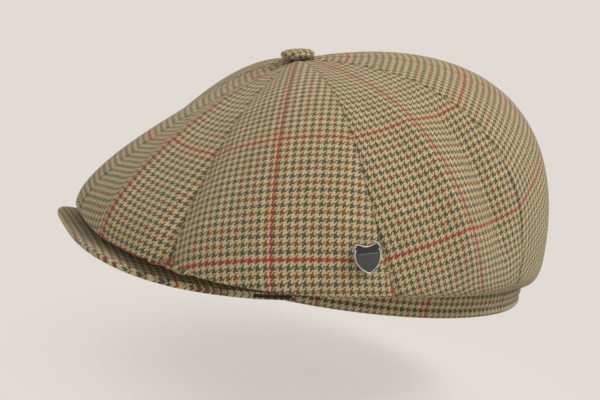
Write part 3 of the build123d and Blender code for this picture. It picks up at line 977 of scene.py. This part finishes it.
lean, place_angle = math.radians(SHIELD_LEAN), math.radians(SHIELD_PLACE_ANGLE)
out_axis = Vector((math.cos(lean) * math.sin(place_angle),
                   -math.cos(lean) * math.cos(place_angle), math.sin(lean)))
low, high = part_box("shield_post")
post_middle = Vector((low + high) / 2 / MM)
pin_seat = (Matrix.Translation(post_middle + out_axis * POST_LENGTH / 2)
            @ Matrix.Rotation(place_angle, 4, "Z")
            @ Matrix.Rotation(math.pi / 2 - lean, 4, "X")
            @ Matrix.Rotation(math.radians(SHIELD_TURN), 4, "Z"))
rings = [ring_at(shield_outline(0.3), 0.0), ring_at(shield_outline(0.05), 0.2),
         ring_at(shield_outline(0.0), 0.6), ring_at(shield_outline(0.08), 1.1),
         ring_at(shield_outline(0.28), 1.36), ring_at(shield_outline(0.5), 1.36),
         ring_at(shield_outline(0.72), 1.15), ring_at(shield_outline(SHIELD_RIM), 0.85),
         ring_at(shield_outline(SHIELD_RIM + 0.1), 0.75)]
rings = [ring[::-1] for ring in rings]
stacked("shield_plate_silver", rings, SILVER, ["shield_plate"], pin_seat, "shield")


def field(name, upper, material, node):
    """One enamel field inside the rim, cut off at the line between the two."""
    outline = shield_outline(SHIELD_RIM + 0.05)[::-1]
    edge = SHIELD_SPLIT + (0.03 if upper else -0.03)
    keep = np.maximum if upper else np.minimum
    outline[:, 1] = keep(outline[:, 1], edge)
    middle = outline.mean(0)

    def drawn(share):
        return middle + (outline - middle) * share

    rings = [ring_at(drawn(0.99), 0.76), ring_at(drawn(1.0), 0.95), ring_at(drawn(0.97), 1.04),
             ring_at(drawn(0.85), 1.07), ring_at(drawn(0.4), 1.09)]
    return stacked(name, rings, material, [node], pin_seat, "shield")


field("shield_black_enamel", True, BLACK_ENAMEL, "shield_enamel_upper")
field("shield_grey_enamel", False, GREY_ENAMEL, "shield_enamel_lower")

# ---- nodes that stay as they are, with their own finish ----
for node, material in [("band_interlining", CANVAS), ("button_shell", STEEL), ("button_post", STEEL),
                       ("button_washer", STEEL), ("shield_post", SILVER),
                       ("clutch_cup", BRASS), ("clutch_spring", STEEL)]:
    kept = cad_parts[node]
    kept.data.materials.clear()
    kept.data.materials.append(material)

# ---- floor, backdrop and lights ----
BACKDROP = linear(224, 219, 212)
PAPER = linear(238, 234, 228)
SOFT_COLOUR = (1.0, 0.99, 0.975, 1.0)
SOFT_LEVEL = 0.66
FLOOR_DROP = -62.0
PAPER_HOLD = 0.28        # how much of the paper, and so of the shadow on it, shows
PAPER_REACH = 6.0        # metres from the middle of the paper to its edge
PAPER_FADE = (0.06, 0.20)   # the paper melts into the backdrop between these distances


def make_stage():
    mesh = bpy.data.meshes.new("studio_floor")
    reach = PAPER_REACH
    height = FLOOR_DROP * MM
    mesh.from_pydata([(-reach, -reach, height), (reach, -reach, height),
                      (reach, reach, height), (-reach, reach, height)], [], [(0, 1, 2, 3)])
    floor = bpy.data.objects.new("studio_floor", mesh)
    bpy.context.scene.collection.objects.link(floor)
    finish = Finish("studio_paper")
    split = finish.node("SeparateXYZ", None, {0: finish.place()})
    x, y = Wire(finish, split.outputs[0]), Wire(finish, split.outputs[1])
    distance = (x * x + y * y).root()
    finish.set(Base_Color=PAPER, Roughness=0.95, Specular_IOR_Level=0.0,
               Alpha=PAPER_HOLD * (1 - distance.between(PAPER_FADE[0], PAPER_FADE[1])))
    mesh.materials.append(finish.material)


make_stage()
world = bpy.data.worlds.new("studio")
bpy.context.scene.world = world
world.use_nodes = True
tree = world.node_tree
tree.nodes.clear()
output = tree.nodes.new("ShaderNodeOutputWorld")
soft = tree.nodes.new("ShaderNodeBackground")
soft.inputs[0].default_value = SOFT_COLOUR
soft.inputs[1].default_value = SOFT_LEVEL
paper = tree.nodes.new("ShaderNodeBackground")
paper.inputs[0].default_value = BACKDROP
seen = tree.nodes.new("ShaderNodeLightPath")
either = tree.nodes.new("ShaderNodeMixShader")
tree.links.new(seen.outputs["Is Camera Ray"], either.inputs[0])
tree.links.new(soft.outputs[0], either.inputs[1])
tree.links.new(paper.outputs[0], either.inputs[2])
tree.links.new(either.outputs[0], output.inputs[0])


def lamp(name, place, aim, size, watts, colour=(1, 1, 1)):
    data = bpy.data.lights.new(name, "AREA")
    data.shape = "DISK"
    data.size = size
    data.energy = watts
    data.color = colour
    fixture = bpy.data.objects.new(name, data)
    bpy.context.scene.collection.objects.link(fixture)
    fixture.location = place
    fixture.rotation_mode = "QUATERNION"
    fixture.rotation_quaternion = (Vector(aim) - Vector(place)).to_track_quat("-Z", "Y")


lamp("key", (0.7, 0.8, 1.4), (0, 0, 0.05), 0.8, 20)
lamp("fill", (1.2, -1.0, 0.15), (0, 0, 0.03), 0.9, 4)

# ---- camera ----
AZIMUTH, ELEVATION, ROLL = 69.0, 9.0, 9.2
DISTANCE = 650.0
VIEW_WIDTH = 347.0      # millimetres across the view at the cap
SENSOR = 36.0
OFF_AXIS = (-25.0, 41.5)


def make_camera():
    a, e, roll = (math.radians(x) for x in (AZIMUTH, ELEVATION, ROLL))
    back = Vector((math.sin(a) * math.cos(e), -math.cos(a) * math.cos(e), math.sin(e)))
    level = Vector((math.cos(a), math.sin(a), 0))
    up = back.cross(level)
    right = level * math.cos(roll) + up * math.sin(roll)
    up = back.cross(right)
    data = bpy.data.cameras.new("camera")
    data.sensor_width = SENSOR
    data.lens = SENSOR * DISTANCE / VIEW_WIDTH
    data.clip_start, data.clip_end = 0.01, 50
    camera = bpy.data.objects.new("camera", data)
    bpy.context.scene.collection.objects.link(camera)
    spot = (back * DISTANCE + right * OFF_AXIS[0] + up * OFF_AXIS[1]) * MM
    turn = Matrix((right, up, back)).transposed()
    camera.matrix_world = Matrix.Translation(spot) @ turn.to_4x4()
    bpy.context.scene.camera = camera


make_camera()
bpy.context.scene.view_settings.view_transform = "Standard"
